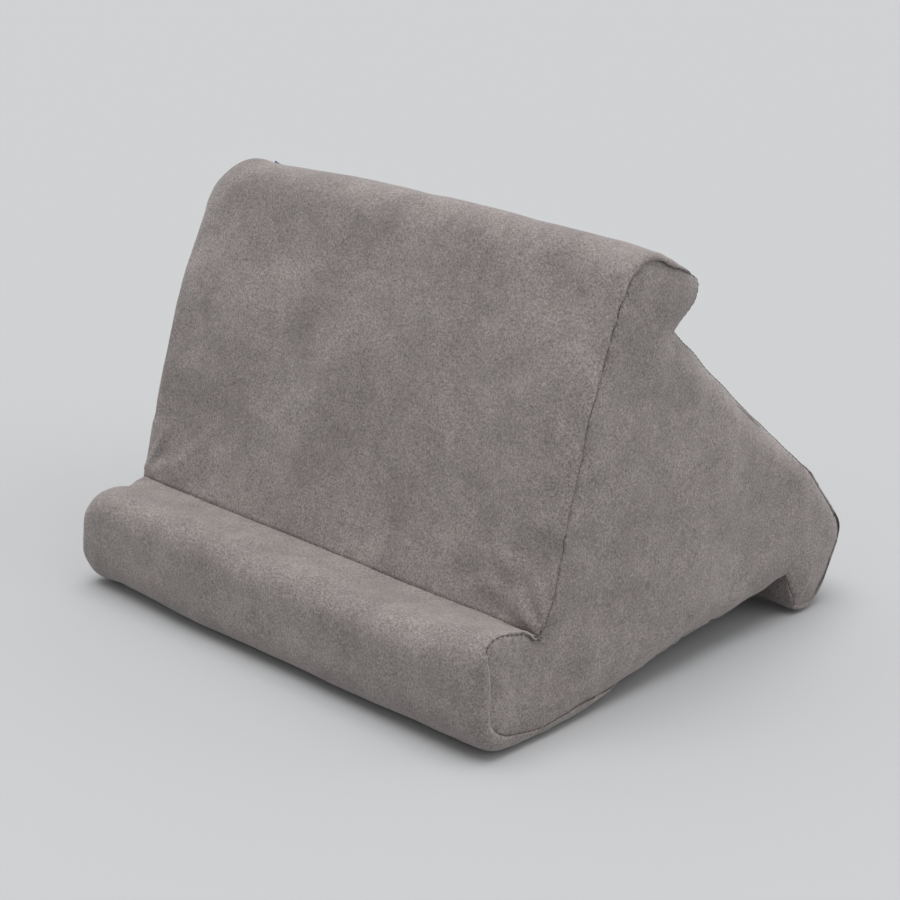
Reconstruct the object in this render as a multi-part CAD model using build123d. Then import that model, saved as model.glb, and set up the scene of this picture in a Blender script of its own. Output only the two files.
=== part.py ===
from build123d import *
import math
import os

# Soft tablet stand: a triangular foam block whose three faces each end in a lip,
# inside a sewn cover that opens with a concealed zip across the base face.
# Millimetres. The origin is on the surface the stand rests on, under the middle of
# its box. X runs across the stand, Y from the front lip to the rear foot, Z is up.

# ---- driving dimensions ----
WIDTH = 284.0          # across the stand
DEPTH = 260.0          # front lip to rear foot
HEIGHT = 211.7         # floor to the top of the ridge
COVER = 1.6            # cover fabric, with its backing
SEAM = 0.8             # sewn thread line between two cover pieces
LIP_HEIGHT = 58.5      # floor to the front lip's upper corner
FRONT_GROOVE = (-90.5, 50.0)   # inner corner between the front face and the front lip
BACK_GROOVE = (-2.0, 168.5)    # inner corner between the back face and the top lip
BASE_GROOVE = (85.0, 24.0)     # inner corner between the base face and the rear foot
REST_END = (58.0 - DEPTH / 2, 0.0)   # rear end of the front lip's flat underside
FRONT_WAIST = (-77.5, 106.0)   # bow of the front face, lower bend
FRONT_CHEST = (-62.0, 158.0)   # bow of the front face, upper bend
FOOT_INNER = (92.5, 0.0)       # front edge of the rear foot's sole
FOOT_OUTER = (112.0, 0.0)      # rear edge of the rear foot's sole
HEEL = (DEPTH / 2 + 4.5, 38.5)       # corner at the rear of the foot
GROOVE_RADIUS = 3.0
FACE_BOW = 300.0       # radius that rounds the crowned faces

ZIP_AT = 55.0          # zip line, measured along Y on the base face
ZIP_LENGTH = 226.0     # tapes, end to end
ZIP_OPENING = 10.4     # gap between the two folded cover edges
ZIP_MOUTH = 222.0      # length of that gap
TAPE_WIDTH = 13.2
TAPE_THICK = 0.6
COIL_GAP = 1.6         # channel between the two coil halves
COIL_WIDTH = 2.6
COIL_HEIGHT = 2.0
SLIDER_LENGTH = 9.0
SLIDER_WIDTH = 9.2
SLIDER_PLATE = 1.1
SLIDER_TRAVEL = 200.0
PULL_PIN_RADIUS = 0.60
PULL_HOLE_RADIUS = 0.66
PULL_LENGTH = 12.0
RELIEF = 4.0           # space left round the tapes in the foam
RELIEF_DEPTH = 7.0
STITCH = (3.0, 0.5, 0.3)       # along, across, standing proud
STITCH_PITCH = 4.0
STITCH_FROM_EDGE = 1.6

NOSE = (17.6, 190.6)            # corner at the back of the top lip
RIDGE = (-33.3, HEIGHT + 7.5)   # corner where the front face meets the top lip
BACK_HOLLOW = (24.0, 144.0)     # slight hollow under the top lip
BACK_MIDDLE = (86.0, 89.0)
BACK_SWELL = (104.0, 75.0)      # fullest part of the back face, above the heel

LABEL = (12.0, 10.0, 0.8)       # blank fabric tab: along the seam, standing proud, thick
LABEL_FROM_NOSE = 15.0          # along the top lip


def point(y, z):
    return Vector(y, z)


def outline_points():
    """Corners of the cross section in order, each with the radius that rounds it."""
    front = -DEPTH / 2
    return [
        (FRONT_GROOVE, GROOVE_RADIUS),
        ((front, LIP_HEIGHT), 14.0),
        ((front, 0.0), 20.0),
        (REST_END, 60.0),
        (BASE_GROOVE, GROOVE_RADIUS),
        (FOOT_INNER, 9.0),
        (FOOT_OUTER, 9.0),
        (HEEL, 18.0),
        (BACK_SWELL, 40.0),
        (BACK_MIDDLE, 90.0),
        (BACK_HOLLOW, 120.0),
        (BACK_GROOVE, GROOVE_RADIUS),
        (NOSE, 11.0),
        (RIDGE, 20.0),
        (FRONT_CHEST, FACE_BOW),
        (FRONT_WAIST, FACE_BOW),
    ]


def cross_section():
    """The stand's outer profile, a face in the YZ plane."""
    corners = outline_points()
    wire = FilletPolyline(
        *[point(*place) for place, radius in corners],
        radius=[radius for place, radius in corners],
        close=True,
    )
    return make_face(wire)


def along_x(face, start, end):
    """Extrude a profile drawn in (Y, Z) from one X to another."""
    return extrude(Plane.YZ.offset(start) * face, end - start)


def unit(a, b):
    return (point(*b) - point(*a)).normalized()


def turned(vector, degrees):
    return vector.rotate(Axis.Z, degrees)


def slot_face(corner, inward, length=9.0):
    """Narrow strip through the cover at a groove, where its seam is sewn."""
    middle = point(*corner) + inward * (length / 2 - 2.5)
    angle = math.degrees(math.atan2(inward.Y, inward.X))
    return Pos(middle.X, middle.Y) * Rot(0, 0, angle) * Rectangle(length, SEAM)


def lip_region(corner, along, outward):
    """Quarter plane that holds one lip, bounded by the neighbouring face carried on."""
    far = 400.0
    a = point(*corner)
    return make_face(Polyline(a, a + along * far, a + along * far + outward * far,
                              a + outward * far, close=True))


outer = cross_section()
inner = offset(outer, amount=-COVER)
core = offset(outer, amount=-(COVER + SEAM))
ring = outer - inner

# ---- directions of the three faces at their grooves ----
front_up = unit(FRONT_GROOVE, FRONT_WAIST)
back_down = unit(BACK_GROOVE, BACK_HOLLOW)
base_forward = unit(BASE_GROOVE, REST_END)
lip_top = unit(FRONT_GROOVE, (-DEPTH / 2, LIP_HEIGHT))
lip_under = unit(BACK_GROOVE, NOSE)
foot_down = unit(BASE_GROOVE, FOOT_INNER)

# ---- groove seams: the cover's panels are joined at the bottom of each groove ----
groove_slots = {
    "front_groove_seam": slot_face(FRONT_GROOVE, -(front_up + lip_top).normalized()),
    "back_groove_seam": slot_face(BACK_GROOVE, -(back_down + lip_under).normalized()),
    "base_groove_seam": slot_face(BASE_GROOVE, -(base_forward + foot_down).normalized()),
}

# ---- zip frame: origin on the outside of the base face, Z out of the stand ----
base_slope = math.atan2(BASE_GROOVE[1], BASE_GROOVE[0] - REST_END[0])
zip_rise = (ZIP_AT - REST_END[0]) * math.tan(base_slope)
ZIP = Plane(
    origin=(0, ZIP_AT, zip_rise),
    x_dir=(1, 0, 0),
    z_dir=(0, math.sin(base_slope), -math.cos(base_slope)),
)
zip_line = slot_face((ZIP_AT, zip_rise), Vector(-math.sin(base_slope), math.cos(base_slope)))


def block(x0, x1, y0, y1, z0, z1):
    """Box between two corners in the frame it is placed in."""
    return Pos((x0 + x1) / 2, (y0 + y1) / 2, (z0 + z1) / 2) * Box(x1 - x0, y1 - y0, z1 - z0)


def in_zip(shape):
    return ZIP * shape


def cover_panels():
    """The wrap of the cover, cut at the grooves and along the zip line."""
    pieces = ring
    for slot in groove_slots.values():
        pieces = pieces - slot
    pieces = pieces - zip_line
    mouth = in_zip(block(-ZIP_MOUTH / 2, ZIP_MOUTH / 2, -ZIP_OPENING / 2, ZIP_OPENING / 2, -6, 6))
    named = {}
    for face in pieces.faces():
        centre = face.center()
        if centre.Y > 100:
            name = "front_cover_panel" if centre.X < -20 else "back_cover_panel"
        elif centre.X > 75:
            name = "back_cover_panel"
        else:
            name = "base_rear_cover_panel" if centre.X > ZIP_AT else "base_front_cover_panel"
        panel = along_x(face, -WIDTH / 2, WIDTH / 2)
        if name.startswith("base"):
            panel = panel - mouth
        named[name] = panel
    return named


def groove_seams():
    return {name: along_x(slot & ring, -WIDTH / 2, WIDTH / 2) for name, slot in groove_slots.items()}


def side_pieces():
    """Each end of the cover: a flat side panel inside a ring of sewn thread."""
    named = {}
    for name, low in (("left", -WIDTH / 2), ("right", WIDTH / 2 - COVER)):
        named[name + "_side_panel"] = along_x(core, low, low + COVER)
        named[name + "_side_seam"] = along_x(inner - core, low, low + COVER)
    return named


def foam_pieces():
    """Foam block and its three bonded lips, with relief under the zip."""
    regions = {
        "front_lip_foam": lip_region(FRONT_GROOVE, -front_up, turned(lip_top, -25)),
        "top_lip_foam": lip_region(BACK_GROOVE, -back_down, turned(lip_under, -20)),
        "rear_foot_foam": lip_region(BASE_GROOVE, -base_forward, turned(foot_down, -20)),
    }
    half = WIDTH / 2 - COVER
    named = {}
    rest = inner
    for name, region in regions.items():
        named[name] = along_x(inner & region, -half, half)
        rest = rest - region
    long = ZIP_LENGTH / 2 + RELIEF
    wide = TAPE_WIDTH + RELIEF
    pocket = in_zip(block(-long, long, -wide, wide, -RELIEF_DEPTH, 0))
    named["foam_block"] = along_x(rest, -half, half) - pocket
    return named


def zip_tapes():
    """Two woven tapes behind the cover's folded edges."""
    low = -COVER - TAPE_THICK
    named = {}
    for name, side in (("front", 1), ("rear", -1)):
        inner_edge = side * COIL_GAP / 2
        outer_edge = side * (COIL_GAP / 2 + TAPE_WIDTH)
        y0, y1 = sorted((inner_edge, outer_edge))
        named["zip_tape_" + name] = in_zip(block(-ZIP_LENGTH / 2, ZIP_LENGTH / 2, y0, y1, low, -COVER))
    return named


def zip_coils():
    """Coil halves sewn on the outer side of the tapes, each a rounded strip."""
    named = {}
    half = ZIP_MOUTH / 2 - 4
    for name, side in (("front", 1), ("rear", -1)):
        y0, y1 = sorted((side * COIL_GAP / 2, side * (COIL_GAP / 2 + COIL_WIDTH)))
        strip = block(-half, half, y0, y1, -COVER, -COVER + COIL_HEIGHT)
        strip = fillet(strip.edges().filter_by(Axis.X).group_by(Axis.Z)[-1], 0.7)
        named["zip_coil_" + name] = in_zip(strip)
    return named


def zip_stops():
    """Two clips that hold the slider in when the zip is closed, and the joined end clip."""
    low = -COVER
    high = -COVER + COIL_HEIGHT
    edge = ZIP_MOUTH / 2 - 4
    clips = []
    for side in (1, -1):
        y0, y1 = sorted((side * COIL_GAP / 2, side * (COIL_GAP / 2 + COIL_WIDTH)))
        clips.append(in_zip(block(-edge - 2.4, -edge, y0, y1, low, high)))
    reach = COIL_GAP / 2 + COIL_WIDTH
    end = in_zip(block(edge, edge + 2.6, -reach, reach, low, high))
    return {"zip_top_stops": Compound(clips), "zip_bottom_stop": end}


REST_X = -SLIDER_TRAVEL / 2          # slider position with the zip closed
PIN_HEIGHT = 3.0                     # pull axis above the outside of the cover


def zip_slider():
    """One casting: outer plate with side flanges, inner plate, divider and pull lug."""
    length = SLIDER_LENGTH / 2
    width = SLIDER_WIDTH / 2
    wall = 0.6
    top = -COVER + COIL_HEIGHT + 0.4
    outer_plate = block(-length, length, -width, width, top, top + SLIDER_PLATE)
    outer_plate = fillet(outer_plate.edges().filter_by(Axis.Z), 2.0)
    flanges = [
        block(-length + 2, length - 2, *sorted((side * (width - wall), side * width)), -COVER + 0.3, top)
        for side in (1, -1)
    ]
    under = -COVER - TAPE_THICK - 0.4
    inner_plate = block(-length, length, -width, width, under - SLIDER_PLATE, under)
    inner_plate = fillet(inner_plate.edges().filter_by(Axis.Z), 2.0)
    divider = block(-length + 0.4, -length + 3.0, -0.5, 0.5, under, top)
    lug = block(-1.6, 1.6, -1.1, 1.1, top + SLIDER_PLATE, PIN_HEIGHT + 1.45)
    lug = fillet(lug.edges().filter_by(Axis.Y).group_by(Axis.Z)[-1], 1.2)
    lug = lug - Pos(0, 0, PIN_HEIGHT) * Rot(90, 0, 0) * Cylinder(PULL_HOLE_RADIUS, 6)
    body = outer_plate + flanges + inner_plate + divider + lug
    return {"zip_slider": in_zip(Pos(REST_X, 0, 0) * body)}


def zip_pull():
    """Short tab hanging from the slider: a pin through the lug, two arms and a plate."""
    arm = 1.0
    inside = 1.35
    eye = 2.6
    thick = 1.1
    half = inside + arm
    pin = Rot(90, 0, 0) * Cylinder(PULL_PIN_RADIUS, 2 * inside)
    arms = [block(-thick / 2, thick / 2, *sorted((s * inside, s * half)), -0.6, eye) for s in (1, -1)]
    plate = block(-thick / 2, thick / 2, -half, half, eye, PULL_LENGTH)
    plate = fillet(plate.edges().filter_by(Axis.X).group_by(Axis.Z)[-1], 1.6)
    hole = Pos(0, 0, PULL_LENGTH - 2.6) * Rot(0, 90, 0) * Cylinder(0.9, 4)
    tab = pin + arms + plate - hole
    return {"zip_pull": in_zip(Pos(REST_X, 0, PIN_HEIGHT) * tab)}


def zip_stitching():
    """Two rows of stitches that hold the folded cover edges to the tapes."""
    long, wide, proud = STITCH
    count = int(ZIP_MOUTH / STITCH_PITCH)
    row = ZIP_OPENING / 2 + STITCH_FROM_EDGE
    stitches = []
    for side in (1, -1):
        for number in range(count):
            middle = (number - (count - 1) / 2) * STITCH_PITCH
            left, right = middle - long / 2, middle + long / 2
            low, high = side * row - wide / 2, side * row + wide / 2
            stitches.append(in_zip(block(left, right, low, high, 0, proud)))
    return {"zip_stitching": Compound(stitches)}


def zip_end_seams():
    """Plain seam that closes the base beyond each end of the zip."""
    line = zip_line & ring
    half = WIDTH / 2
    pieces = [along_x(line, -half, -ZIP_MOUTH / 2), along_x(line, ZIP_MOUTH / 2, half)]
    return {"zip_end_seams": Compound(children=pieces)}


def side_label():
    """Blank woven tab standing out of the left side seam, behind the ridge."""
    along, proud, thick = LABEL
    slope = unit(NOSE, RIDGE)
    normal = turned(slope, -90)
    start = point(*NOSE) + slope * LABEL_FROM_NOSE
    tab = make_face(Polyline(start - slope * along / 2, start + slope * along / 2,
                             start + slope * along / 2 + normal * proud,
                             start - slope * along / 2 + normal * proud, close=True))
    low = -WIDTH / 2 + COVER
    return {"side_label": along_x(tab, low, low + thick)}


NODES = {}
for group in (foam_pieces, cover_panels, side_pieces, groove_seams, zip_tapes, zip_coils, zip_stops,
              zip_slider, zip_pull, zip_stitching, zip_end_seams, side_label):
    NODES.update(group())

os.makedirs("parts", exist_ok=True)
for name, shape in NODES.items():
    export_step(shape, "parts/" + name + ".step")

box = outer.bounding_box()
print("profile", [round(v, 2) for v in (box.min.X, box.max.X, box.min.Y, box.max.Y)])
print("zip line height", round(zip_rise, 2), "base slope", round(math.degrees(base_slope), 2))
print("nodes", len(NODES))
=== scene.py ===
import math

import bmesh
import bpy
import numpy as np
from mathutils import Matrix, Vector, geometry, kdtree, noise


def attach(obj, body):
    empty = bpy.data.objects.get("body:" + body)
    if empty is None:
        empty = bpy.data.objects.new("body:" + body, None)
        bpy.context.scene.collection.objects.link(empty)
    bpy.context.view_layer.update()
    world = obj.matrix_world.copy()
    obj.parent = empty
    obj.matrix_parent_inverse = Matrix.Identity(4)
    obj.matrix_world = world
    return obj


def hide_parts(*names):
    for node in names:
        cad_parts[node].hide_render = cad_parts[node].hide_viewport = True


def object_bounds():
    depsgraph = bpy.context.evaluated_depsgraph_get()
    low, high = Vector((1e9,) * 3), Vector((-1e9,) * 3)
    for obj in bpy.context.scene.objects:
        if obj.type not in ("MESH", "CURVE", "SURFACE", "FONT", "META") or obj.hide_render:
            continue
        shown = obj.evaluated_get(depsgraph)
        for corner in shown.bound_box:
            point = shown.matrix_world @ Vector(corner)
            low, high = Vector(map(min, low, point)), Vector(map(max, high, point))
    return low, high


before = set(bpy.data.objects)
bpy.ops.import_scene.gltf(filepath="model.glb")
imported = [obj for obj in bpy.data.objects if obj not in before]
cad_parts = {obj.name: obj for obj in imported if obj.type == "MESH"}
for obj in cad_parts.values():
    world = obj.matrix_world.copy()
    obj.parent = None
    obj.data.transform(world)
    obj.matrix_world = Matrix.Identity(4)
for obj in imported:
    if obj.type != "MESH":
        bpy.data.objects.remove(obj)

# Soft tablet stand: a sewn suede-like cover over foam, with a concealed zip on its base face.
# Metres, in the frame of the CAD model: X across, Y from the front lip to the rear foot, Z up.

MM = 0.001
cad_low, cad_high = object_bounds()
HALF = cad_high.x
BODY = "stand"

# ---- cover: named sizes ----
STEP = 5.0 * MM            # spacing of the cloth before it is subdivided
EDGE_ROLL = 7.0 * MM       # radius where a wrap panel turns into the side
SEAM_BACK = 0.6 * MM       # how far the side seam lies inside the widest plane
START_SMALLER = 2.5 * MM   # the cloth starts this much under size and is blown up
CLOTH_CAP = 3.6 * MM       # furthest that the simulated cloth may move
FABRIC_THICK = 1.2 * MM
THREAD = 0.21 * MM         # radius of the sewing thread

# How far the side seam lies inside the profile: (share of the panel's length, distance in mm)
SEAM_INSETS = {
    "front": [(0, -1.8), (0.07, 1.6), (0.70, 1.6), (0.78, 1.6), (0.83, 0.2), (0.88, -1.2), (0.96, -1.5),
              (1, -1.2)],
    "back": [(0, -1.0), (0.06, -2.1), (0.42, -2.1), (0.52, 0.4), (0.66, 1.8), (0.78, 1.0), (0.86, 0.6),
             (0.94, 1.4), (1, -1.0)],
    "base": [(0, -1.0), (0.05, -1.8), (0.36, -1.8), (0.42, -0.6), (0.48, 1.6), (0.52, 3.6), (0.56, 4.2),
             (0.61, 3.6), (0.66, 6.4), (0.705, 7.8), (0.748, 5.8), (0.778, 3.2), (0.83, 4.2), (0.86, 2.0),
             (0.879, 0.2), (0.892, -1.2), (0.911, 0.0), (0.95, 0.8), (0.98, 0.2), (1, -1.8)],
}
LEFT_SHARE = 0.45          # the left end's seam lies nearer to the edge

# How far the side panel rolls over onto the wrap, which moves the seam inwards from the end plane, in mm
ROLL_OVER = {
    "front": [(0, 0), (0.82, 0), (0.90, 1.4), (1, 3.6)],
    "back": [(0, 3.6), (0.06, 5.5), (0.36, 5.5), (0.50, 0.6), (0.68, 0.2), (0.76, 1.6), (0.88, 2.2),
             (1, 1.2)],
    "base": [(0, 1.2), (0.08, 5.5), (0.34, 5.5), (0.46, 2.2), (0.56, 0), (1, 0)],
}

# ---- zip: sizes that match the CAD zip ----
MOUTH_HALF = 112.0 * MM    # half length of the gap between the folded cover edges
MOUTH_WIDE = 5.5 * MM      # half width of that gap
STITCH_ROW = 7.1 * MM      # the stitches that hold the cover to the tapes, from the zip line

# ---- cross section: groove, corners with the radius that rounds them, next groove ----
FRONT_GROOVE = (-90.5, 50.0)
BACK_GROOVE = (-2.0, 168.5)
BASE_GROOVE = (85.0, 24.0)
FRONT_PATH = [FRONT_GROOVE, (-77.5, 106.0, 300.0), (-62.0, 158.0, 300.0), (-33.3, 219.2, 21.0),
              (17.6, 190.6, 11.5), BACK_GROOVE]
BACK_PATH = [BACK_GROOVE, (24.0, 144.0, 120.0), (86.0, 89.0, 90.0), (104.0, 75.0, 40.0),
             (134.5, 38.5, 18.0), (112.0, 0.0, 12.0), (92.5, 0.0, 10.0), BASE_GROOVE]
BASE_PATH = [BASE_GROOVE, (-72.0, 0.0, 80.0), (-130.0, 0.0, 20.0), (-130.0, 58.5, 14.0), FRONT_GROOVE]
ZIP_AT = 30.35 * MM        # distance of the zip line from the base groove, along the base


def studio():
    """Camera at the viewing angle, soft lights, pale floor."""
    camera_data = bpy.data.cameras.new("camera")
    camera_data.sensor_width = 36.0
    camera_data.lens = 93.95
    camera = bpy.data.objects.new("camera", camera_data)
    bpy.context.collection.objects.link(camera)
    camera.location = (0.7640, -0.7727, 0.4794)
    azimuth, elevation = math.radians(44.93), math.radians(20.36)
    aim = Vector((-math.cos(elevation) * math.sin(azimuth),
                  math.cos(elevation) * math.cos(azimuth), -math.sin(elevation)))
    camera.rotation_mode = "QUATERNION"
    camera.rotation_quaternion = aim.to_track_quat("-Z", "Y")
    bpy.context.scene.camera = camera
    bpy.context.scene.view_settings.view_transform = "Standard"

    world = bpy.data.worlds.new("studio")
    world.use_nodes = True
    background = world.node_tree.nodes["Background"]
    background.inputs["Color"].default_value = (0.975, 0.985, 1.0, 1)
    background.inputs["Strength"].default_value = 0.66
    bpy.context.scene.world = world

    lamps = [
        ("overhead", (0.03, -0.11, 1.0), 2.55, 48.0),
        ("front_left", (-0.75, -0.80, 0.75), 0.12, 60.0),
        ("right", (1.0, 0.45, 0.55), 0.80, 60.0),
    ]
    for name, toward, power, spread in lamps:
        light = bpy.data.lights.new(name, "SUN")
        light.energy = power
        light.angle = math.radians(spread)
        lamp = bpy.data.objects.new(name, light)
        lamp.rotation_mode = "QUATERNION"
        lamp.rotation_quaternion = Vector(toward).to_track_quat("Z", "Y")
        bpy.context.collection.objects.link(lamp)

    mesh = bpy.data.meshes.new("floor")
    reach = 9.0
    mesh.from_pydata([(-reach, -reach, 0), (reach, -reach, 0), (reach, reach, 0), (-reach, reach, 0)],
                     [], [(0, 1, 2, 3)])
    floor = bpy.data.objects.new("floor", mesh)
    bpy.context.collection.objects.link(floor)
    paper = bpy.data.materials.new("floor_paper")
    paper.use_nodes = True
    shader = paper.node_tree.nodes["Principled BSDF"]
    shader.inputs["Base Color"].default_value = (0.396, 0.399, 0.404, 1)
    shader.inputs["Roughness"].default_value = 0.7
    shader.inputs["Specular IOR Level"].default_value = 0.2
    mesh.materials.append(paper)


# ---------------------------------------------------------------- profile

def rounded(path):
    """Dense points along a path whose inner corners are rounded by arcs."""
    corners = [Vector(c[:2]) * MM for c in path]
    radii = [c[2] * MM if len(c) > 2 else 0.0 for c in path]
    points = [corners[0]]
    for before, here, after, radius in zip(corners, corners[1:], corners[2:], radii[1:]):
        u = (before - here).normalized()
        v = (after - here).normalized()
        half = u.angle(v) / 2
        back = radius / math.tan(half)
        centre = here + (u + v).normalized() * radius / math.sin(half)
        start, end = here + u * back, here + v * back
        a = math.atan2(start.y - centre.y, start.x - centre.x)
        turn = math.atan2(end.y - centre.y, end.x - centre.x) - a
        turn = (turn + math.pi) % (2 * math.pi) - math.pi
        steps = max(2, int(abs(turn) * radius / MM) + 1)
        for k in range(steps + 1):
            angle = a + turn * k / steps
            points.append(centre + Vector((math.cos(angle), math.sin(angle))) * radius)
    points.append(corners[-1])
    return np.array([tuple(p) for p in points])


def resampled(points, stops=()):
    """Evenly spaced points along a dense path, with extra stops at given distances."""
    run = np.concatenate(([0], np.cumsum(np.linalg.norm(np.diff(points, axis=0), axis=1))))
    marks = [0.0, *stops, run[-1]]
    places = []
    for a, b in zip(marks, marks[1:]):
        count = max(1, round((b - a) / STEP))
        places += list(np.linspace(a, b, count, endpoint=False))
    return np.stack([np.interp(places, run, points[:, k]) for k in (0, 1)], axis=1)


ZIP_ROWS = (-STITCH_ROW, -MOUTH_WIDE, 0.0, MOUTH_WIDE, STITCH_ROW)


def section():
    """The closed profile: points, outward normals, each point's panel, seam insets and rolls."""
    parts, owners, insets, rolls = [], [], [], []
    zip_stops = [ZIP_AT + k for k in ZIP_ROWS]
    panels = [("front", FRONT_PATH, ()), ("back", BACK_PATH, ()), ("base", BASE_PATH, zip_stops)]
    for name, path, stops in panels:
        points = resampled(rounded(path), stops)
        parts.append(points)
        owners += [name] * len(points)
        places = np.arange(len(points)) / len(points)
        insets += list(np.interp(places, *zip(*SEAM_INSETS[name])) * MM)
        rolls += list(np.interp(places, *zip(*ROLL_OVER[name])) * MM)
    loop = np.concatenate(parts)
    ahead = np.roll(loop, -1, axis=0) - loop
    behind = loop - np.roll(loop, 1, axis=0)
    ahead /= np.linalg.norm(ahead, axis=1)[:, None]
    behind /= np.linalg.norm(behind, axis=1)[:, None]
    along = ahead + behind
    along /= np.linalg.norm(along, axis=1)[:, None]
    normals = np.stack([-along[:, 1], along[:, 0]], axis=1)
    turns = np.arange(len(loop)) / len(loop) * 2 * math.pi
    wobble = 0.12 * np.sin(turns * 41 + 2 * np.sin(turns * 7)) + 0.16 * np.sin(turns * 23 + 1.3)
    return loop, normals, owners, np.array(insets) + wobble * MM, np.array(rolls)


def columns():
    """(x, inset, share of the seam inset) of each column of the wrap, from left seam to right seam."""
    end = HALF - START_SMALLER
    flat = end - EDGE_ROLL
    right = []
    for angle in (16, 32, 48, 62):
        a = math.radians(angle)
        right.append((flat + EDGE_ROLL * math.sin(a), 1 - math.cos(a)))
    full = 1 - math.cos(math.radians(62))
    right = [(x, share / full * 0.62) for x, share in right] + [(end - SEAM_BACK, 1.0)]
    inner = list(np.linspace(-flat, -MOUTH_HALF, 5)[:-1])
    count = round(2 * MOUTH_HALF / STEP)
    inner += list(np.linspace(-MOUTH_HALF, MOUTH_HALF, count + 1))
    inner += list(np.linspace(MOUTH_HALF, flat, 5)[1:])
    return [(-x, i) for x, i in reversed(right)] + [(x, 0.0) for x in inner] + right


LOOP, NORMALS, OWNERS, INSETS, ROLLS = section()
COLUMNS = columns()
GROOVES = [0] + [k for k in range(1, len(OWNERS)) if OWNERS[k] != OWNERS[k - 1]]
base_start = OWNERS.index("base")


def base_run():
    """Distance from the base groove of each profile point from there on."""
    return np.concatenate(([0], np.cumsum(np.linalg.norm(np.diff(LOOP[base_start:], axis=0), axis=1))))


ZIP_NUMBERS = [base_start + int(np.argmin(np.abs(base_run() - ZIP_AT - k))) for k in ZIP_ROWS]
STITCH_REAR, ZIP_REAR, ZIP_MIDDLE, ZIP_FRONT, STITCH_FRONT = ZIP_NUMBERS


def undersize():
    """How much smaller than the finished shape the cloth starts at each profile point: none at the zip."""
    from_zip = np.full(len(LOOP), 1.0)
    from_zip[base_start:] = np.abs(base_run() - ZIP_AT)
    share = np.clip((from_zip - STITCH_ROW - 6 * MM) / (14 * MM), 0, 1)
    return START_SMALLER * share * share * (3 - 2 * share)


PANEL_IDS = ["front_cover", "back_cover", "base_rear_cover", "base_front_cover", "left_side",
             "right_side", "mouth"]


def panel_of(row, column):
    """Which cover panel a face of the wrap grid belongs to."""
    x = (COLUMNS[column][0] + COLUMNS[column + 1][0]) / 2
    if ZIP_REAR <= row < ZIP_FRONT and abs(x) < MOUTH_HALF:
        return "mouth"
    owner = OWNERS[row]
    if owner != "base":
        return owner + "_cover"
    return "base_rear_cover" if row < ZIP_MIDDLE else "base_front_cover"


def cover_grid():
    """One closed mesh of the whole cover, under size, with a panel number on each face."""
    rows = len(LOOP)
    shape = LOOP - NORMALS * undersize()[:, None]
    points, faces, panels = [], [], []
    for x, share in COLUMNS:
        sunk = np.maximum(INSETS, 0) * share + np.minimum(INSETS, 0) * share ** 3
        ring = shape - NORMALS * (sunk * (LEFT_SHARE if x < 0 else 1.0))[:, None]
        ends = x * (1 - ROLLS * min(1.0, share * 1.6) / HALF)
        points += [(end, y, z) for end, (y, z) in zip(ends, ring)]
    for c in range(len(COLUMNS) - 1):
        for r in range(rows):
            s = (r + 1) % rows
            faces.append((c * rows + r, c * rows + s, (c + 1) * rows + s, (c + 1) * rows + r))
            panels.append(PANEL_IDS.index(panel_of(r, c)))
    for side, column in (("left", 0), ("right", len(COLUMNS) - 1)):
        rim = [column * rows + r for r in range(rows)]
        flat = [Vector((points[i][1], points[i][2])) for i in rim]
        inside = spots_inside(flat)
        edges = [(k, (k + 1) % rows) for k in range(rows)]
        made = geometry.delaunay_2d_cdt(flat + inside, edges, [], 1, 1e-7)
        first = len(points)
        sign = -1 if side == "left" else 1
        end_x = HALF - START_SMALLER + 0.4 * MM
        for spot in inside:
            distance, nearest = rim_distance(spot, flat)
            back = end_x - abs(points[rim[nearest]][0])
            share = max(0.0, 1 - distance / (1.7 * back + 2.0 * MM))
            points.append((sign * (end_x - back * (1 - math.sqrt(1 - share ** 2))), spot.x, spot.y))
        index = rim + list(range(first, first + len(inside)))
        lookup = [index[origin[0]] for origin in made[3]]
        for face in made[2]:
            corner = [lookup[k] for k in face]
            if side == "left":
                corner.reverse()
            faces.append(tuple(corner))
            panels.append(PANEL_IDS.index(side + "_side"))
    mesh = bpy.data.meshes.new("cover")
    mesh.from_pydata(points, [], faces)
    mesh.attributes.new("panel", "INT", "FACE").data.foreach_set("value", panels)
    mesh.update()
    cover = bpy.data.objects.new("cover", mesh)
    bpy.context.collection.objects.link(cover)
    return cover


def rim_distance(spot, rim):
    """Distance from a spot to the nearest rim point, and that point's number."""
    loop = np.array([tuple(p) for p in rim])
    far = np.linalg.norm(loop - np.array(tuple(spot)), axis=1)
    return float(np.min(far)), int(np.argmin(far))


def spots_inside(rim):
    """Hexagonal grid of points inside a rim, kept clear of it."""
    loop = np.array([tuple(p) for p in rim])
    low, high = loop.min(axis=0), loop.max(axis=0)
    ahead = np.roll(loop, -1, axis=0)
    spots = []
    row = 0
    z = low[1]
    while z < high[1]:
        y = low[0] + (row % 2) * STEP / 2
        while y < high[0]:
            crossing = (loop[:, 1] > z) != (ahead[:, 1] > z)
            climb = np.where(crossing, ahead[:, 1] - loop[:, 1], 1)
            at = loop[:, 0] + (z - loop[:, 1]) / climb * (ahead[:, 0] - loop[:, 0])
            inside = np.count_nonzero(crossing & (at > y)) % 2
            if inside and np.min(np.linalg.norm(loop - (y, z), axis=1)) > STEP * 0.6:
                spots.append(Vector((y, z)))
            y += STEP
        z += STEP * math.sqrt(3) / 2
        row += 1
    return spots


def coordinates(mesh):
    flat = np.empty(len(mesh.vertices) * 3)
    mesh.vertices.foreach_get("co", flat)
    return flat.reshape(-1, 3)


def set_coordinates(mesh, points):
    mesh.vertices.foreach_set("co", np.ascontiguousarray(points).ravel())
    mesh.update()


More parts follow.
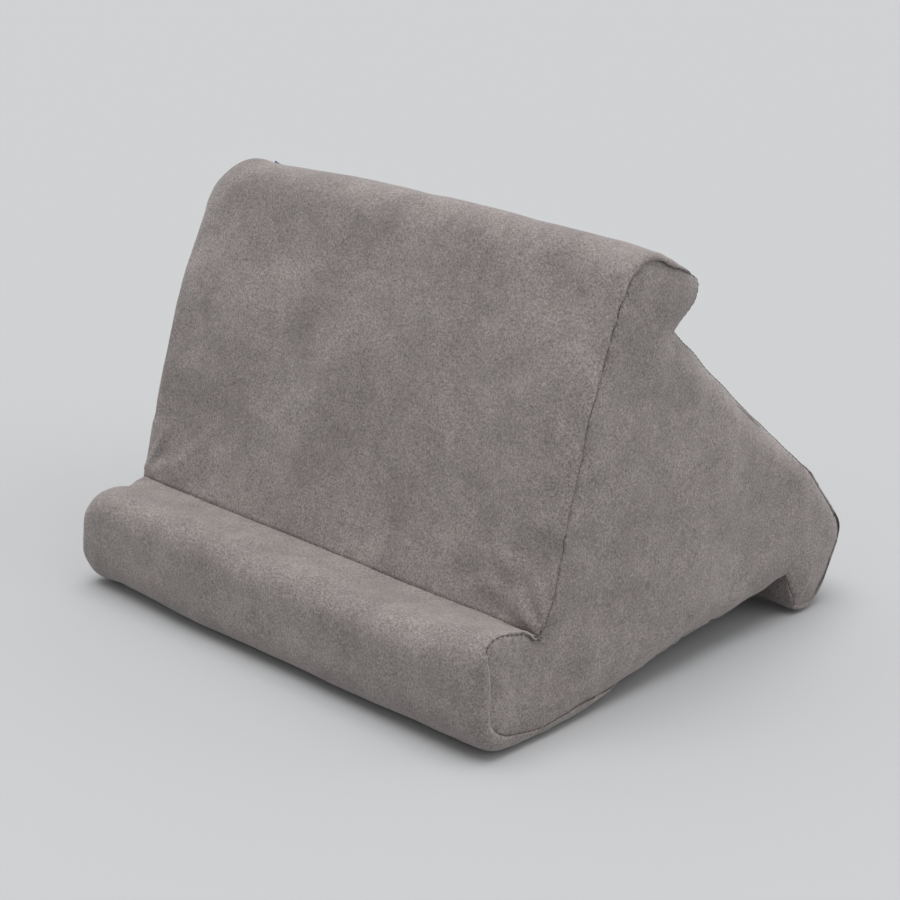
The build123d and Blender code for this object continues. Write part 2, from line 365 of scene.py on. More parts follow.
def blow_up(cover):
    """Inflate the cover like filled cloth held along its seams, and cap how far it moves."""
    mesh = cover.data
    rows = len(LOOP)
    last = len(COLUMNS) - 1
    held = [c * rows + r for c in (0, last) for r in range(rows)]
    held += [c * rows + r for c in range(last + 1) for r in GROOVES]
    held += [c * rows + ZIP_MIDDLE for c in range(last + 1)]
    by_mouth = [c for c in range(last + 1) if abs(COLUMNS[c][0]) < MOUTH_HALF + MM]
    held += [c * rows + r for c in by_mouth for r in ZIP_NUMBERS]
    group = cover.vertex_groups.new(name="held")
    group.add(sorted(set(held)), 1.0, "REPLACE")
    start = coordinates(mesh)
    rng = np.random.default_rng(4)
    nudge = rng.normal(0, 0.15 * MM, start.shape)
    nudge[sorted(set(held))] = 0
    set_coordinates(mesh, start + nudge)
    cloth = cover.modifiers.new("cloth", "CLOTH")
    settings = cloth.settings
    settings.quality = 6
    settings.mass = 0.25
    settings.tension_stiffness = 14
    settings.compression_stiffness = 12
    settings.shear_stiffness = 4
    settings.bending_stiffness = 1.0
    settings.shrink_min = -0.009
    settings.vertex_group_mass = "held"
    settings.use_pressure = True
    settings.uniform_pressure_force = 0.35
    settings.effector_weights.gravity = 0.0
    scene = bpy.context.scene
    scene.frame_start, scene.frame_end = 1, 18
    for number in range(1, 19):
        scene.frame_set(number)
    seen = cover.evaluated_get(bpy.context.evaluated_depsgraph_get())
    moved = coordinates(seen.data) - start
    cover.modifiers.clear()
    scene.frame_set(1)
    far = np.linalg.norm(moved, axis=1)[:, None] + 1e-9
    set_coordinates(mesh, start + moved / far * CLOTH_CAP * np.tanh(far / CLOTH_CAP))


def held_rows():
    """Vertex numbers of the side seams and of the grooves, on the grid."""
    rows = len(LOOP)
    last = len(COLUMNS) - 1
    sides = {"left": list(range(rows)), "right": [last * rows + r for r in range(rows)]}
    grooves = [[c * rows + r for c in range(last + 1)] for r in GROOVES]
    return sides, grooves


def relax(mesh, passes, keep):
    """Laplacian smoothing of every vertex that isn't kept."""
    count = len(mesh.vertices)
    ends = np.empty(len(mesh.edges) * 2, dtype=np.int32)
    mesh.edges.foreach_get("vertices", ends)
    a, b = ends[0::2], ends[1::2]
    degree = np.bincount(ends, minlength=count)[:, None]
    points = coordinates(mesh)
    moves = np.ones((count, 1))
    moves[keep] = 0
    for _ in range(passes):
        total = np.zeros_like(points)
        np.add.at(total, a, points[b])
        np.add.at(total, b, points[a])
        points += (total / degree - points) * 0.5 * moves
    set_coordinates(mesh, points)


def eased(share):
    """0 below 0, 1 above 1, and a smooth step between."""
    t = np.clip(share, 0, 1)
    return t * t * (3 - 2 * t)


def round_over(reach, radius):
    """Drop of a rounded end at the given distances beyond the middle, for an end of this radius."""
    share = np.clip((reach - (HALF - radius)) / radius, 0, 0.93)
    return radius * (1 - np.sqrt(1 - share ** 2))


RIDGE_SAG = 2.6 * MM        # how far the ridge sinks towards the left end
RIDGE_ROUND = 23.0 * MM     # radius of the ridge's rounded left end
NOSE_DROP = 2.4 * MM        # how far the top lip sinks at its right end
NOSE_SWELL = 1.5 * MM       # how far the top lip's underside swells
LIP_ROUND = 19.0 * MM       # radius of the front lip's rounded left end
LIP_EAR = 6.0 * MM          # how far the front lip stands up at its right end
LIP_FLARE = 4.0 * MM        # how far the front lip's left end reaches out, low down
LIP_TUCK = 2.4 * MM         # how far the same end draws in, at the top
LIP_DROP = 2.2 * MM         # how far the same end's lower edge sinks
HEEL_SWELL = 1.7 * MM       # how far the rear foot swells backwards, near the floor
SIDE_TUCK = 3.6 * MM        # how far the left side draws in at half height
CLEAR_OF_FLOOR = 0.3 * MM


def bell(value, middle, width):
    """1 at the middle, and falling off as a bell of this width."""
    return np.exp(-((value - middle) / width) ** 2)


def settled(p):
    """Large uneven shape of the soft filling: sagging left end, full ends, lip corner standing up."""
    x, y, z = np.asarray(p, dtype=float).T
    high = eased((z - 0.10) / 0.09)
    z = z - high * np.clip((0.03 - x) / 0.145, 0, 1.2) ** 2 * RIDGE_SAG
    z = z - round_over(-x, RIDGE_ROUND) * eased((z - 0.135) / 0.06)
    nose_top = eased((y + 0.030) / 0.030) * eased((z - 0.183) / 0.012)
    z = z - eased((x - 0.112) / 0.03) * nose_top * NOSE_DROP
    nose_under = bell(z, 0.1775, 0.0065) * eased((y + 0.001) / 0.008) * eased((0.024 - y) / 0.006)
    y = y + nose_under * NOSE_SWELL
    y = y + bell(z, 0.017, 0.011) * eased((y - 0.108) / 0.008) * HEEL_SWELL
    lip = eased((-0.0925 - y) / 0.010)
    z = z - lip * round_over(-x, LIP_ROUND) * 0.75 * eased((z - 0.022) / 0.036)
    z = z + lip * eased((x - 0.090) / 0.052) * eased((z - 0.028) / 0.024) * LIP_EAR
    lip_low = bell(z, 0.018, 0.016) * eased((-0.085 - y) / 0.03)
    x = x - lip_low * eased((-x - 0.125) / 0.017) * LIP_FLARE
    lip_top = eased((z - 0.030) / 0.018) * eased((-0.080 - y) / 0.015)
    x = x + lip_top * eased((-x - 0.125) / 0.017) * LIP_TUCK
    lip_edge = eased((-0.105 - y) / 0.012) * eased((0.034 - z) / 0.012)
    z = z - eased((-x - 0.118) / 0.02) * lip_edge * LIP_DROP
    x = x + bell(z, 0.132, 0.044) * eased((-x - 0.11) / 0.03) * SIDE_TUCK
    return np.stack([x, y, np.maximum(z, CLEAR_OF_FLOOR)], axis=1)


def sharpen_seams(mesh, lines):
    """Crease the seam edges so that subdivision keeps their fold."""
    wanted = set()
    for line, closed in lines:
        ahead = line[1:] + (line[:1] if closed else [])
        wanted |= {frozenset(pair) for pair in zip(line, ahead)}
    crease = mesh.attributes.new("crease_edge", "FLOAT", "EDGE")
    ends = np.empty(len(mesh.edges) * 2, dtype=np.int32)
    mesh.edges.foreach_get("vertices", ends)
    values = [0.75 if frozenset(pair) in wanted else 0.0 for pair in zip(ends[0::2], ends[1::2])]
    crease.data.foreach_set("value", values)


def subdivided(cover):
    modifier = cover.modifiers.new("finer", "SUBSURF")
    modifier.levels = modifier.render_levels = 1
    modifier.boundary_smooth = "PRESERVE_CORNERS"
    seen = cover.evaluated_get(bpy.context.evaluated_depsgraph_get())
    mesh = bpy.data.meshes.new_from_object(seen)
    cover.modifiers.clear()
    old = cover.data
    cover.data = mesh
    bpy.data.meshes.remove(old)


def normals_of(mesh):
    flat = np.empty(len(mesh.vertices) * 3)
    mesh.vertices.foreach_get("normal", flat)
    return flat.reshape(-1, 3)


def lumps(points, size, seed):
    """Smooth noise, about -1 to 1, with features of the given size."""
    offset = Vector((seed * 3.17, seed * 1.31, seed * 2.73))
    return np.array([noise.noise(Vector(p) / size + offset) for p in points]) * 1.6


def line_through(points, line, closed=True):
    """Distance of each point from a polyline, and how far along the line it is."""
    ends = np.roll(line, -1, axis=0) if closed else line[1:]
    starts = line if closed else line[:-1]
    tree = kdtree.KDTree(len(starts))
    for k, (a, b) in enumerate(zip(starts, ends)):
        tree.insert((a + b) / 2, k)
    tree.balance()
    run = np.concatenate(([0], np.cumsum(np.linalg.norm(ends - starts, axis=1))))
    far, along = np.empty(len(points)), np.empty(len(points))
    for number, point in enumerate(points):
        _, k, _ = tree.find(point)
        a, b = starts[k], ends[k]
        share = np.clip(np.dot(point - a, b - a) / (np.dot(b - a, b - a) + 1e-12), 0, 1)
        far[number] = np.linalg.norm(point - (a + (b - a) * share))
        along[number] = run[k] + share * (run[k + 1] - run[k])
    return far, along


def fine_folds(mesh, sides, grooves):
    """Soft lumps, puckers along the seams and the folds at the ends of the grooves."""
    p = coordinates(mesh)
    n = normals_of(mesh)
    amount = lumps(p, 0.048, 1) * 0.60 * MM + lumps(p, 0.018, 2) * 0.15 * MM
    for seed, line in enumerate(sides.values()):
        far, along = line_through(p, line)
        near = np.exp(-far / (5.5 * MM)) * np.clip(far / (1.2 * MM), 0, 1)
        wave = np.sin(along / 0.0021 + 2.2 * np.sin(along / 0.0079 + seed))
        patchy = 0.55 + 0.45 * np.sin(along / 0.023 + 1.7 * seed + np.sin(along / 0.051))
        amount += near * wave * patchy * 0.30 * MM
    for seed, line in enumerate(grooves):
        far, along = line_through(p, line, closed=False)
        near = np.exp(-far / (9 * MM)) * np.clip(far / (2 * MM), 0, 1)
        wave = np.sin(along / 0.0045 + 2.6 * np.sin(along / 0.017 + seed * 2))
        ends = 0.35 + 0.65 * np.clip((np.abs(p[:, 0]) - 0.085) / 0.04, 0, 1)
        amount += near * wave * ends * 0.55 * MM
    amount += groove_end_creases(p) + fan_folds(p)
    from_zip = p - np.array(ZIP_ORIGIN)
    across, out = from_zip @ np.array(ZIP_FORWARD), from_zip @ np.array(ZIP_OUTWARD)
    by_zip = (np.abs(out) < 15 * MM) * (np.abs(p[:, 0]) < MOUTH_HALF + 10 * MM)
    amount *= 1 - 0.9 * np.exp(-(across / (10 * MM)) ** 2) * by_zip
    set_coordinates(mesh, p + n * amount[:, None])


def groove_end_creases(p):
    """Short creases down each side panel from the corner of a groove, where the panel is pulled in."""
    total = np.zeros(len(p))
    creases = [
        (FRONT_GROOVE, (0.10, -1.0), 15.0, 1.5, 1.3),
        (FRONT_GROOVE, (0.9, -0.55), 24.0, 4.0, 0.8),
        (BASE_GROOVE, (0.25, 0.95), 15.0, 2.2, 0.9),
        (BACK_GROOVE, (-0.42, -0.9), 40.0, 6.0, 1.3),
        (BACK_GROOVE, (-0.95, -0.1), 16.0, 2.4, 0.8),
    ]
    for corner, way, length, width, depth in creases:
        way = np.array(way) / np.linalg.norm(way)
        rest = p[:, 1:] - np.array(corner) * MM
        down = rest @ way
        across = rest @ np.array([-way[1], way[0]])
        fade = np.clip(1 - down / (length * MM), 0, 1) * np.clip(1 + down / (2 * MM), 0, 1)
        on_side = np.abs(p[:, 0]) > HALF - 3.5 * MM
        total -= np.exp(-(across / (width * MM)) ** 2) * fade * on_side * depth * MM
    return total


def fan_folds(p):
    """Folds that fan out over the front face and the lip from each end of the front groove."""
    total = np.zeros(len(p))
    folds = [(11, 66, 2.6), (29, 60, 3.4), (50, 48, 3.0), (74, 34, 1.2), (-22, 34, 1.6), (-48, 24, 1.2)]
    on_wrap = eased((HALF - 2 * MM - np.abs(p[:, 0])) / (6 * MM))
    near_face = (p[:, 1] < -0.05) & (p[:, 2] > 0.03)
    for side in (-1, 1):
        inward = (HALF - side * p[:, 0])
        up = p[:, 2] - FRONT_GROOVE[1] * MM
        forward = FRONT_GROOVE[0] * MM - p[:, 1]
        rise = np.where(forward > 2 * MM, -forward, up)
        ray = np.hypot(inward, rise)
        angle = np.arctan2(rise, inward)
        for way, length, depth in folds:
            bend = math.radians(way) + 0.16 * np.sin(ray / 0.013 + way + side)
            sharp = np.exp(-(ray * (angle - bend) / (1.5 * MM + 0.06 * ray)) ** 2)
            reach = eased(ray / 0.009) * eased(1.15 * (1 - ray / (length * MM)))
            total -= sharp * reach * depth * MM * (1.0 if side > 0 else 0.75)
    return total * on_wrap * near_face


def panel_piece(cover, name, numbers):
    """Cut one sewn panel out of the cover mesh and give it the fabric's thickness."""
    mesh = cover.data.copy()
    mesh.name = name
    made = bmesh.new()
    made.from_mesh(mesh)
    layer = made.faces.layers.int["panel"]
    bmesh.ops.delete(made, geom=[f for f in made.faces if f[layer] not in numbers], context="FACES")
    made.to_mesh(mesh)
    made.free()
    piece = bpy.data.objects.new(name, mesh)
    bpy.context.collection.objects.link(piece)
    thick = piece.modifiers.new("thickness", "SOLIDIFY")
    thick.thickness = FABRIC_THICK
    thick.offset = -1
    thick.use_even_offset = False
    return piece


PANELS = {
    "front_cover": "front_cover_panel",
    "back_cover": "back_cover_panel",
    "base_rear_cover": "base_rear_cover_panel",
    "base_front_cover": "base_front_cover_panel",
    "left_side": "left_side_panel",
    "right_side": "right_side_panel",
}


def cover_pieces(cover):
    for key, node in PANELS.items():
        piece = panel_piece(cover, key + "_cloth", {PANEL_IDS.index(key)})
        piece.data.materials.clear()
        piece.data.materials.append(suede())
        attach(piece, BODY)
        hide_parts(node)


def stitch_row(line, closed, stitch, gap, radius):
    """Stitches end to end along a line, each a short capsule of thread that dips in at both ends."""
    if closed:
        line = np.vstack([line, line[:1]])
    run = np.concatenate(([0], np.cumsum(np.linalg.norm(np.diff(line, axis=0), axis=1))))
    count = max(1, int(run[-1] / (stitch + gap)))
    pitch = run[-1] / count
    rings = [(0.0, 0.35), (0.12, 0.9), (0.5, 1.0), (0.88, 0.9), (1.0, 0.35)]
    sides = 6
    points, faces = [], []
    for k in range(count):
        first = len(points)
        for share, wide in rings:
            at = k * pitch + share * stitch
            middle = Vector([np.interp(at, run, line[:, i]) for i in range(3)])
            ahead = Vector([np.interp(at + 0.3 * MM, run, line[:, i]) for i in range(3)]) - middle
            ahead = ahead.normalized() if ahead.length > 0 else Vector((1, 0, 0))
            side = ahead.orthogonal().normalized()
            up = ahead.cross(side)
            for s in range(sides):
                angle = 2 * math.pi * s / sides
                points.append(middle + (side * math.cos(angle) + up * math.sin(angle)) * radius * wide)
        for ring in range(len(rings) - 1):
            for s in range(sides):
                a, b = first + ring * sides + s, first + ring * sides + (s + 1) % sides
                faces.append((a, b, b + sides, a + sides))
        faces.append(tuple(first + s for s in reversed(range(sides))))
        faces.append(tuple(first + (len(rings) - 1) * sides + s for s in range(sides)))
    return points, faces


def thread_piece(name, lines, node, closed=False, stitch=2.6 * MM, gap=0.5 * MM, radius=THREAD):
    """Sewing thread along one or more seam lines."""
    piece = mesh_piece(name, [stitch_row(line, closed, stitch, gap, radius) for line in lines], thread())
    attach(piece, BODY)
    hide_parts(node)


def foam_piece(name, node):
    """Rounded foam inside the cover: the CAD block, softened and drawn in from the cloth."""
    source = bpy.data.objects[node] if node in bpy.data.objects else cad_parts[node]
    piece = bpy.data.objects.new(name, source.data.copy())
    bpy.context.collection.objects.link(piece)
    for kind, values in (("REMESH", {"mode": "VOXEL", "voxel_size": 4 * MM}),
                         ("SMOOTH", {"factor": 0.8, "iterations": 14}),
                         ("DISPLACE", {"strength": -4.2 * MM, "mid_level": 0.0})):
        modifier = piece.modifiers.new(kind.lower(), kind)
        for key, value in values.items():
            setattr(modifier, key, value)
    seen = piece.evaluated_get(bpy.context.evaluated_depsgraph_get())
    mesh = bpy.data.meshes.new_from_object(seen)
    piece.modifiers.clear()
    piece.data = mesh
    set_coordinates(mesh, settled(coordinates(mesh)))
    mesh.materials.clear()
    mesh.materials.append(foam())
    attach(piece, BODY)
    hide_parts(node)


# ---------------------------------------------------------------- zip and label

ALONG_BASE = (Vector(BASE_GROOVE) - Vector(BASE_PATH[1][:2])).normalized()
ZIP_MIDDLE_Y = 55.0 * MM
ZIP_SLOPE = ALONG_BASE.y / ALONG_BASE.x
ZIP_MIDDLE_Z = BASE_GROOVE[1] * MM - (BASE_GROOVE[0] * MM - ZIP_MIDDLE_Y) * ZIP_SLOPE
ZIP_ORIGIN = Vector((0.0, ZIP_MIDDLE_Y, ZIP_MIDDLE_Z))
ZIP_FORWARD = Vector((0.0, -ALONG_BASE.x, -ALONG_BASE.y))
ZIP_OUTWARD = Vector((0.0, ALONG_BASE.y, -ALONG_BASE.x))
COIL_PITCH = 1.30 * MM
COIL_WIRE = 0.29 * MM
COIL_HALF_LENGTH = 107.0 * MM
COIL_CENTRE = (2.1 * MM, -0.6 * MM)      # across and outward, from the zip line
COIL_RADII = (1.0 * MM, 0.7 * MM)


def in_zip(x, across, out):
    """Point given along, across and outward from the zip line."""
    return Vector((x, 0, 0)) + ZIP_ORIGIN + ZIP_FORWARD * across + ZIP_OUTWARD * out


def tube(line, radius, sides):
    """Vertices and faces of a closed tube along a list of points."""
    points, faces = [], []
    for k, here in enumerate(line):
        ahead = (line[min(k + 1, len(line) - 1)] - line[max(k - 1, 0)]).normalized()
        side = ahead.cross(ZIP_OUTWARD)
        side = side.normalized() if side.length > 0.05 else ahead.orthogonal().normalized()
        up = ahead.cross(side)
        for s in range(sides):
            angle = 2 * math.pi * s / sides
            points.append(here + (side * math.cos(angle) + up * math.sin(angle)) * radius)
    for k in range(len(line) - 1):
        for s in range(sides):
            a, b = k * sides + s, k * sides + (s + 1) % sides
            faces.append((a, b, b + sides, a + sides))
    faces.append(tuple(reversed(range(sides))))
    faces.append(tuple(range((len(line) - 1) * sides, len(line) * sides)))
    return points, faces


def mesh_piece(name, parts, material):
    """One smooth object from several (vertices, faces) parts, which stay separate shells."""
    points, faces = [], []
    for part_points, part_faces in parts:
        first = len(points)
        points += part_points
        faces += [tuple(first + k for k in face) for face in part_faces]
    mesh = bpy.data.meshes.new(name)
    mesh.from_pydata(points, [], faces)
    mesh.polygons.foreach_set("use_smooth", [True] * len(mesh.polygons))
    mesh.materials.append(material)
    piece = bpy.data.objects.new(name, mesh)
    bpy.context.collection.objects.link(piece)
    return piece


def coil_piece(side_name, side):
    """Nylon coil of one half of the zip: a flattened helix around its core cord."""
    turns = int(2 * COIL_HALF_LENGTH / COIL_PITCH)
    steps = 9
    line = []
    for k in range(turns * steps + 1):
        angle = 2 * math.pi * k / steps
        x = -COIL_HALF_LENGTH + COIL_PITCH * k / steps
        across = side * (COIL_CENTRE[0] + COIL_RADII[0] * math.cos(angle))
        line.append(in_zip(x, across, COIL_CENTRE[1] + COIL_RADII[1] * math.sin(angle)))
    core = [in_zip(-COIL_HALF_LENGTH + 2 * COIL_HALF_LENGTH * k / 60, side * COIL_CENTRE[0], COIL_CENTRE[1])
            for k in range(61)]
    piece = mesh_piece("zip_" + side_name + "_coil_turns",
                       [tube(line, COIL_WIRE, 5), tube(core, 0.34 * MM, 6)], nylon())
    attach(piece, BODY)
    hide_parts("zip_coil_" + side_name)


def finish_cad_nodes():
    """Better materials on the zip's CAD parts, whose shapes are right."""
    finishes = {
        "zip_tape_front": tape, "zip_tape_rear": tape, "zip_slider": enamel, "zip_pull": enamel,
        "zip_top_stops": steel, "zip_bottom_stop": steel,
    }
    for node, make in finishes.items():
        part = bpy.data.objects[node] if node in bpy.data.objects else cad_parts[node]
        for number in range(len(part.material_slots)):
            part.material_slots[number].material = make()


LABEL_ALONG = 12.0 * MM     # along the seam
LABEL_PROUD = 15.5 * MM     # folded height beyond the seam
LABEL_THICK = 0.45 * MM


def label_piece(seam):
    """Blank woven label, folded double, sewn into the left side seam behind the ridge."""
    aim = np.array([0.0065, 0.191])
    near = int(np.argmin(np.linalg.norm(seam[:, 1:] - aim, axis=1)))
    root = Vector(seam[near])
    ahead = (Vector(seam[(near + 2) % len(seam)]) - Vector(seam[near - 2])).normalized()
    out = Vector((-0.35, 0.42, 0.88))
    out = (out - ahead * out.dot(ahead)).normalized()
    across = ahead.cross(out).normalized()
    loop = []
    rows = 9
    for k in range(rows):
        rise = LABEL_PROUD * k / (rows - 1)
        puff = 0.35 * MM * math.sin(math.pi * k / (rows - 1))
        loop.append((rise - 1.0 * MM, LABEL_THICK * 0.55 + puff))
    for k in range(1, 6):
        angle = math.pi * k / 6
        fold = LABEL_PROUD - 1.0 * MM + 0.45 * MM * math.sin(angle)
        loop.append((fold, LABEL_THICK * 0.55 * math.cos(angle)))
    loop += [(rise, -wide) for rise, wide in reversed(loop[:rows])]
    points, faces = [], []
    stations = 9
    for s in range(stations):
        share = s / (stations - 1)
        for rise, wide in loop:
            lean = 0.9 * MM * math.sin(2.4 * share + rise / (5 * MM)) * rise / LABEL_PROUD
            points.append(root + ahead * ((share - 0.5) * LABEL_ALONG) + out * rise + across * (wide + lean))
    count = len(loop)
    for s in range(stations - 1):
        for k in range(count - 1):
            a = s * count + k
            faces.append((a, a + 1, a + 1 + count, a + count))
    piece = mesh_piece("blank_label", [(points, faces)], label_weave())
    thick = piece.modifiers.new("thickness", "SOLIDIFY")
    thick.thickness = 0.22 * MM
    thick.offset = 0
    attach(piece, BODY)
    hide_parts("side_label")


# ---------------------------------------------------------------- materials

MATERIALS = {}


def material(name):
    """New node material and its shader, kept in MATERIALS under its name."""
    made = bpy.data.materials.new(name)
    made.use_nodes = True
    MATERIALS[name] = made
    return made, made.node_tree, made.node_tree.nodes["Principled BSDF"]


def add(tree, kind, inputs=None, **settings):
    node = tree.nodes.new(kind)
    for key, value in settings.items():
        setattr(node, key, value)
    for key, value in (inputs or {}).items():
        node.inputs[key].default_value = value
    return node


def noise_of(tree, vector, scale, detail=2.0, rough=0.5, warp=0.0):
    node = add(tree, "ShaderNodeTexNoise",
               {"Scale": scale, "Detail": detail, "Roughness": rough, "Distortion": warp})
    tree.links.new(vector, node.inputs["Vector"])
    return node.outputs["Fac"]


def ramp_of(tree, value, stops):
    node = add(tree, "ShaderNodeValToRGB")
    while len(node.color_ramp.elements) < len(stops):
        node.color_ramp.elements.new(0.5)
    for element, (place, colour) in zip(node.color_ramp.elements, stops):
        element.position = place
        element.color = (*colour, 1) if isinstance(colour, tuple) else (colour, colour, colour, 1)
    tree.links.new(value, node.inputs["Fac"])
    return node.outputs["Color"]


def mixed(tree, blend, factor, a, b):
    node = add(tree, "ShaderNodeMix", data_type="RGBA", blend_type=blend)
    node.inputs["Factor"].default_value = factor
    for socket, value in ((node.inputs[6], a), (node.inputs[7], b)):
        if isinstance(value, tuple):
            socket.default_value = (*value, 1)
        else:
            tree.links.new(value, socket)
    return node.outputs[2]


def bumped(tree, shader, layers):
    """Stack bump layers of (height, strength, distance in metres) into the shader's normal."""
    last = None
    for height, strength, distance in layers:
        node = add(tree, "ShaderNodeBump", {"Strength": strength, "Distance": distance})
        tree.links.new(height, node.inputs["Height"])
        if last:
            tree.links.new(last, node.inputs["Normal"])
        last = node.outputs["Normal"]
    tree.links.new(last, shader.inputs["Normal"])


def suede():
    """Short brushed nap: warm grey, with darker patches where the pile lies the other way."""
    if "suede" in MATERIALS:
        return MATERIALS["suede"]
    made, tree, shader = material("suede")
    place = add(tree, "ShaderNodeTexCoord").outputs["Object"]
    patches = noise_of(tree, place, 24.0, 4.0, 0.60, 0.6)
    strokes = noise_of(tree, place, 85.0, 5.0, 0.68, 0.5)
    flecks = noise_of(tree, place, 980.0, 3.0, 0.8)
    fibres = noise_of(tree, place, 2400.0, 2.0, 0.8)
    base = ramp_of(tree, patches, [(0.28, (0.176, 0.155, 0.149)), (0.50, (0.207, 0.184, 0.177)),
                                   (0.72, (0.237, 0.212, 0.203))])
    tone = ramp_of(tree, strokes, [(0.28, 0.84), (0.72, 1.14)])
    grain = ramp_of(tree, flecks, [(0.26, 0.34), (0.50, 1.0), (0.76, 1.72)])
    colour = mixed(tree, "MULTIPLY", 1.0, base, tone)
    colour = mixed(tree, "MULTIPLY", 1.0, colour, grain)
    tree.links.new(colour, shader.inputs["Base Color"])
    rough = ramp_of(tree, strokes, [(0.2, 0.84), (0.8, 0.97)])
    tree.links.new(rough, shader.inputs["Roughness"])
    shader.inputs["Specular IOR Level"].default_value = 0.12
    shader.inputs["Sheen Weight"].default_value = 0.35
    shader.inputs["Sheen Roughness"].default_value = 0.45
    shader.inputs["Sheen Tint"].default_value = (0.95, 0.90, 0.86, 1)
    bumped(tree, shader, [(patches, 0.25, 0.0012), (flecks, 0.6, 0.0005), (fibres, 0.6, 0.00025)])
    return made


def thread():
    """Twisted polyester thread, darker than the cloth."""
    if "thread" in MATERIALS:
        return MATERIALS["thread"]
    made, tree, shader = material("thread")
    place = add(tree, "ShaderNodeTexCoord").outputs["Object"]
    twist = noise_of(tree, place, 3000.0, 2.0)
    tree.links.new(ramp_of(tree, twist, [(0.3, (0.030, 0.025, 0.022)), (0.7, (0.070, 0.060, 0.054))]),
                   shader.inputs["Base Color"])
    shader.inputs["Roughness"].default_value = 0.85
    bumped(tree, shader, [(twist, 0.4, 0.0001)])
    return made


def foam():
    """Open-cell foam with fine pores."""
    if "foam" in MATERIALS:
        return MATERIALS["foam"]
    made, tree, shader = material("foam")
    place = add(tree, "ShaderNodeTexCoord").outputs["Object"]
    cells = add(tree, "ShaderNodeTexVoronoi", {"Scale": 700.0})
    tree.links.new(place, cells.inputs["Vector"])
    colour = ramp_of(tree, cells.outputs["Distance"], [(0.0, (0.52, 0.47, 0.36)), (0.6, (0.80, 0.76, 0.64))])
    tree.links.new(colour, shader.inputs["Base Color"])
    shader.inputs["Roughness"].default_value = 0.95
    bumped(tree, shader, [(cells.outputs["Distance"], 0.8, 0.0008)])
    return made


def tape():
    """Woven polyester zip tape: a fine twill of ribs, brownish grey."""
    if "tape" in MATERIALS:
        return MATERIALS["tape"]
    made, tree, shader = material("tape")
    place = add(tree, "ShaderNodeTexCoord").outputs["Object"]
    ribs = add(tree, "ShaderNodeTexWave", {"Scale": 420.0, "Distortion": 0.6, "Detail": 1.0},
               wave_type="BANDS", bands_direction="DIAGONAL")
    tree.links.new(place, ribs.inputs["Vector"])
    fuzz = noise_of(tree, place, 1500.0, 3.0, 0.7)
    rib_stops = [(0.1, (0.105, 0.092, 0.086)), (0.9, (0.190, 0.170, 0.160))]
    rib_colour = ramp_of(tree, ribs.outputs["Fac"], rib_stops)
    fuzz_tone = ramp_of(tree, fuzz, [(0.25, 0.7), (0.75, 1.2)])
    colour = mixed(tree, "MULTIPLY", 0.7, rib_colour, fuzz_tone)
    tree.links.new(colour, shader.inputs["Base Color"])
    shader.inputs["Roughness"].default_value = 0.82
    bumped(tree, shader, [(ribs.outputs["Fac"], 0.7, 0.0003), (fuzz, 0.4, 0.0001)])
    return made


def nylon():
    """Dyed nylon monofilament of the zip coil, slightly glossy."""
    if "nylon" in MATERIALS:
        return MATERIALS["nylon"]
    made, tree, shader = material("nylon")
    place = add(tree, "ShaderNodeTexCoord").outputs["Object"]
    streaks = noise_of(tree, place, 700.0, 3.0, 0.6)
    tree.links.new(ramp_of(tree, streaks, [(0.3, (0.115, 0.100, 0.094)), (0.7, (0.165, 0.147, 0.138))]),
                   shader.inputs["Base Color"])
    tree.links.new(ramp_of(tree, streaks, [(0.3, 0.28), (0.7, 0.44)]), shader.inputs["Roughness"])
    bumped(tree, shader, [(streaks, 0.15, 0.0001)])
    return made


def enamel():
    """Painted die-cast metal: dark grey enamel, orange-peel surface, rubbed bright in spots."""
    if "enamel" in MATERIALS:
        return MATERIALS["enamel"]
    made, tree, shader = material("enamel")
    place = add(tree, "ShaderNodeTexCoord").outputs["Object"]
    peel = noise_of(tree, place, 900.0, 2.0, 0.5)
    rubs = noise_of(tree, place, 260.0, 5.0, 0.75)
    worn = ramp_of(tree, rubs, [(0.66, 0.0), (0.72, 1.0)])
    colour = mixed(tree, "MIX", 0.0, (0.075, 0.070, 0.068), (0.42, 0.41, 0.40))
    tree.links.new(worn, colour.node.inputs["Factor"])
    tree.links.new(colour, shader.inputs["Base Color"])
    tree.links.new(worn, shader.inputs["Metallic"])
    tree.links.new(ramp_of(tree, peel, [(0.3, 0.30), (0.7, 0.46)]), shader.inputs["Roughness"])
    bumped(tree, shader, [(peel, 0.25, 0.0001)])
    return made


def steel():
    """Dull crimped steel of the stops, scratched."""
    if "steel" in MATERIALS:
        return MATERIALS["steel"]
    made, tree, shader = material("steel")
    place = add(tree, "ShaderNodeTexCoord").outputs["Object"]
    scratches = noise_of(tree, place, 1100.0, 4.0, 0.7, 1.5)
    tree.links.new(ramp_of(tree, scratches, [(0.3, (0.24, 0.235, 0.23)), (0.7, (0.40, 0.39, 0.38))]),
                   shader.inputs["Base Color"])
    tree.links.new(ramp_of(tree, scratches, [(0.3, 0.28), (0.7, 0.5)]), shader.inputs["Roughness"])
    shader.inputs["Metallic"].default_value = 1.0
    bumped(tree, shader, [(scratches, 0.2, 0.0001)])
    return made


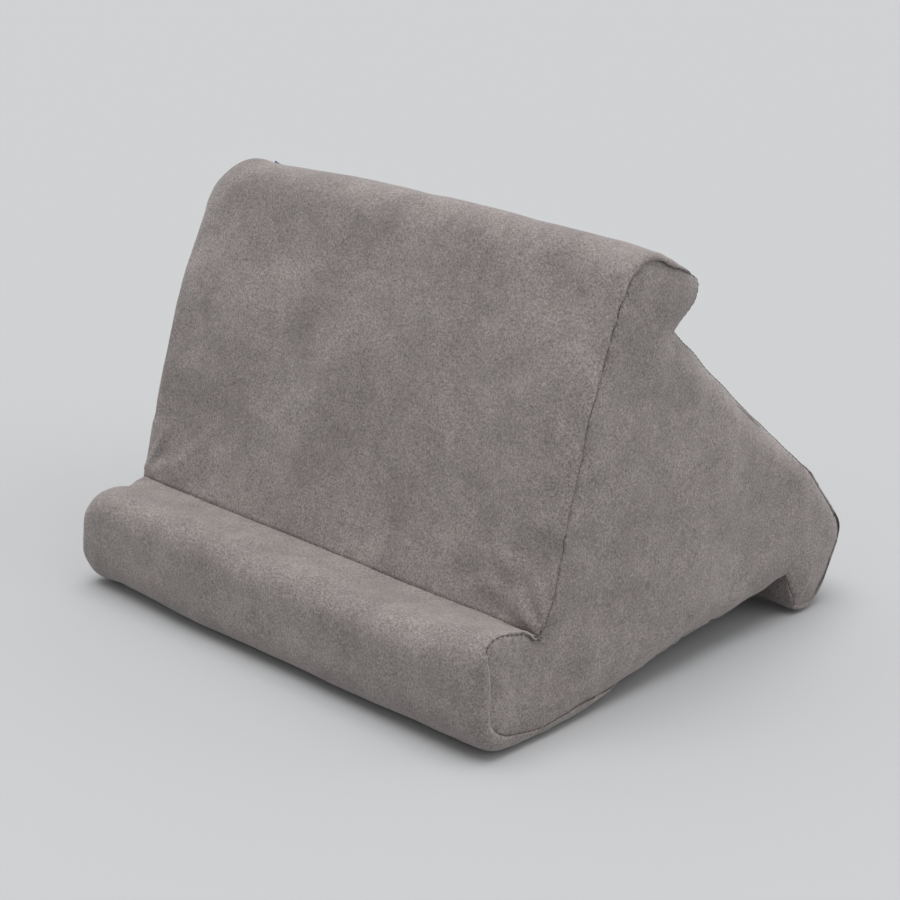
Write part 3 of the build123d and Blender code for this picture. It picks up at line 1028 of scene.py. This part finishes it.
def label_weave():
    """Blue satin ribbon with a fine warp and no lettering."""
    if "label_weave" in MATERIALS:
        return MATERIALS["label_weave"]
    made, tree, shader = material("label_weave")
    place = add(tree, "ShaderNodeTexCoord").outputs["Object"]
    warp = add(tree, "ShaderNodeTexWave", {"Scale": 900.0, "Distortion": 0.8, "Detail": 1.0},
               wave_type="BANDS", bands_direction="Y")
    tree.links.new(place, warp.inputs["Vector"])
    colour = ramp_of(tree, warp.outputs["Fac"], [(0.1, (0.012, 0.018, 0.110)), (0.9, (0.030, 0.045, 0.230))])
    tree.links.new(colour, shader.inputs["Base Color"])
    shader.inputs["Roughness"].default_value = 0.42
    shader.inputs["Sheen Weight"].default_value = 0.3
    bumped(tree, shader, [(warp.outputs["Fac"], 0.5, 0.0001)])
    return made


studio()
cover = cover_grid()
sides, grooves = held_rows()
blow_up(cover)
relax(cover.data, 2, sorted({k for line in [*sides.values(), *grooves] for k in line}))
set_coordinates(cover.data, settled(coordinates(cover.data)))
sharpen_seams(cover.data, [(line, True) for line in sides.values()] + [(line, False) for line in grooves])
seam_numbers = {name: np.array(line) for name, line in sides.items()}
groove_numbers = [np.array(line) for line in grooves]
subdivided(cover)
points = coordinates(cover.data)
fine_folds(cover.data, {k: points[v] for k, v in seam_numbers.items()}, [points[v] for v in groove_numbers])
cover.data.polygons.foreach_set("use_smooth", [True] * len(cover.data.polygons))
points = coordinates(cover.data)
cover_pieces(cover)
for side, numbers in seam_numbers.items():
    thread_piece(side + "_side_stitches", [points[numbers]], side + "_side_seam", closed=True)
for name, numbers in zip(("front_groove", "back_groove", "base_groove"), groove_numbers):
    thread_piece(name + "_stitches", [points[numbers]], name + "_seam")
zip_lines = {r: points[[c * len(LOOP) + r for c in range(len(COLUMNS))]] for r in ZIP_NUMBERS}
middle = zip_lines[ZIP_MIDDLE]
ends = [middle[middle[:, 0] < -MOUTH_HALF + MM], middle[middle[:, 0] > MOUTH_HALF - MM]]
ends = [line + np.array(ZIP_OUTWARD) * 0.15 * MM for line in ends]
thread_piece("zip_end_stitches", ends, "zip_end_seams")
rows = [zip_lines[r][np.abs(zip_lines[r][:, 0]) < MOUTH_HALF + MM] + np.array(ZIP_OUTWARD) * 0.1 * MM
        for r in (STITCH_REAR, STITCH_FRONT)]
thread_piece("zip_edge_stitches", rows, "zip_stitching", stitch=3.0 * MM, gap=1.0 * MM, radius=0.24 * MM)
for node in ("foam_block", "front_lip_foam", "top_lip_foam", "rear_foot_foam"):
    foam_piece(node + "_core", node)
for side_name, side in (("front", 1), ("rear", -1)):
    coil_piece(side_name, side)
finish_cad_nodes()
label_piece(points[seam_numbers["left"]])
bpy.data.objects.remove(cover)
